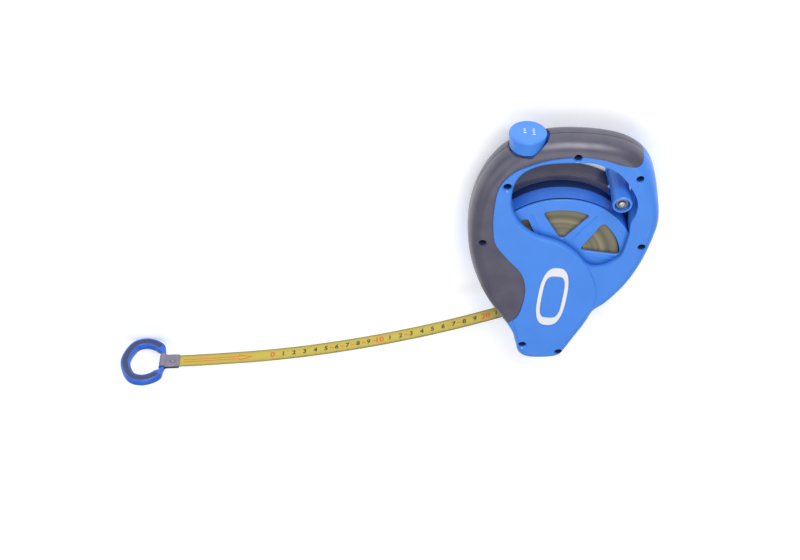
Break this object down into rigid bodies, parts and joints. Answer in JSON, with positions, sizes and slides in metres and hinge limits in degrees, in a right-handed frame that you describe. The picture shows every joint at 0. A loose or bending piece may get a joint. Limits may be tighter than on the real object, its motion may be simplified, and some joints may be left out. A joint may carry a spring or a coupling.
{
  "type": "surveyor tape reel",
  "caption": "Open-window surveyor tape reel with top handle, lock button, folding rear crank, spoked drum, a length of drawn-out yellow blade and a D-shaped end ring.",
  "frame": {"origin": "centre of the footprint of the reel body, on the plane its rear drum rim lies on (the drawn-out blade, its clip and ring are left out)", "axes": "+Z out of the front cover, +Y towards the handle and lock button, +X to the right seen from the front; the blade leaves towards -X"},
  "size_m": [0.4719, 0.2716, 0.0554],
  "materials": {
    "blue_abs": "satin moulded ABS",
    "grey_rubber": "soft matt overmould",
    "bright_steel": "plated",
    "clip_steel": "dark plated",
    "yellow_tape": "lacquered yellow steel",
    "white_print": "smooth",
    "bearing_bronze": "sintered",
    "black_felt": "felt"
  },
  "bodies": {
    "casing": {"front_shell": "blue_abs", "rear_shell": "blue_abs", "front_grip": "grey_rubber", "rear_grip": "grey_rubber", "shell_screw_1": "bright_steel", "shell_screw_2": "bright_steel", "shell_screw_3": "bright_steel", "shell_screw_4": "bright_steel", "shell_screw_5": "bright_steel", "shell_screw_6": "bright_steel", "shell_screw_7": "bright_steel", "badge_plate": "white_print", "badge_inset": "blue_abs", "front_bush": "bearing_bronze", "rear_bush": "bearing_bronze", "reel_guard": "blue_abs", "crank_boss": "blue_abs", "boss_screw": "bright_steel", "crank_hinge_pin": "bright_steel", "lock_spring": "bright_steel", "brake_pivot_pin": "bright_steel", "mouth_liner": "clip_steel", "wiper_upper": "black_felt", "wiper_lower": "black_felt", "tape_run_inside": "yellow_tape", "tape_blade": "yellow_tape", "end_clip": "clip_steel", "clip_rivet": "clip_steel"},
    "reel": {"reel_front_flange": "blue_abs", "reel_rear_flange": "blue_abs", "wound_tape": "yellow_tape", "reel_axle": "bright_steel", "axle_clip": "bright_steel"},
    "crank": {"crank_arm": "blue_abs", "grip_pin": "bright_steel", "grip_washer": "bright_steel", "grip_screw": "bright_steel"},
    "crank_handle": {"crank_grip": "blue_abs"},
    "button": {"lock_button": "blue_abs", "button_stem": "bright_steel"},
    "brake": {"brake_lever": "bright_steel", "brake_pad": "black_felt"},
    "ring": {"end_ring": "blue_abs"}
  },
  "joints": [
    {"name": "reel_spin", "type": "hinge", "parent": "casing", "child": "reel", "pos_m": [-0.00175, -0.0048, 0.028], "axis": [0, 0, 1], "continuous": true},
    {"name": "crank_fold", "type": "hinge", "parent": "casing", "child": "crank", "pos_m": [0.00513, 0.00503, 0.0024], "axis": [-0.8195, 0.5731, 0], "range_deg": [0, 180]},
    {"name": "crank_grip_spin", "type": "hinge", "parent": "crank", "child": "crank_handle", "pos_m": [0.04547, 0.06273, 0.028], "axis": [0, 0, 1], "continuous": true},
    {"name": "button_press", "type": "slide", "parent": "casing", "child": "button", "axis": [0, -1, 0], "range_m": [0, 0.002], "stiffness_N_per_m": 800, "springref_m": -0.002},
    {"name": "brake_swing", "type": "hinge", "parent": "casing", "child": "brake", "pos_m": [-0.05925, 0.0672, 0.0327], "axis": [0, 0, -1], "range_deg": [0, 7.2]},
    {"name": "ring_swing", "type": "hinge", "parent": "casing", "child": "ring", "pos_m": [-0.35425, -0.144, 0.028], "axis": [0, 0, 1], "range_deg": [-100, 100]}
  ],
  "couplings": [
    {"joint": "brake_swing", "follows": "button_press", "rad_per_m": 62.5}
  ]
}
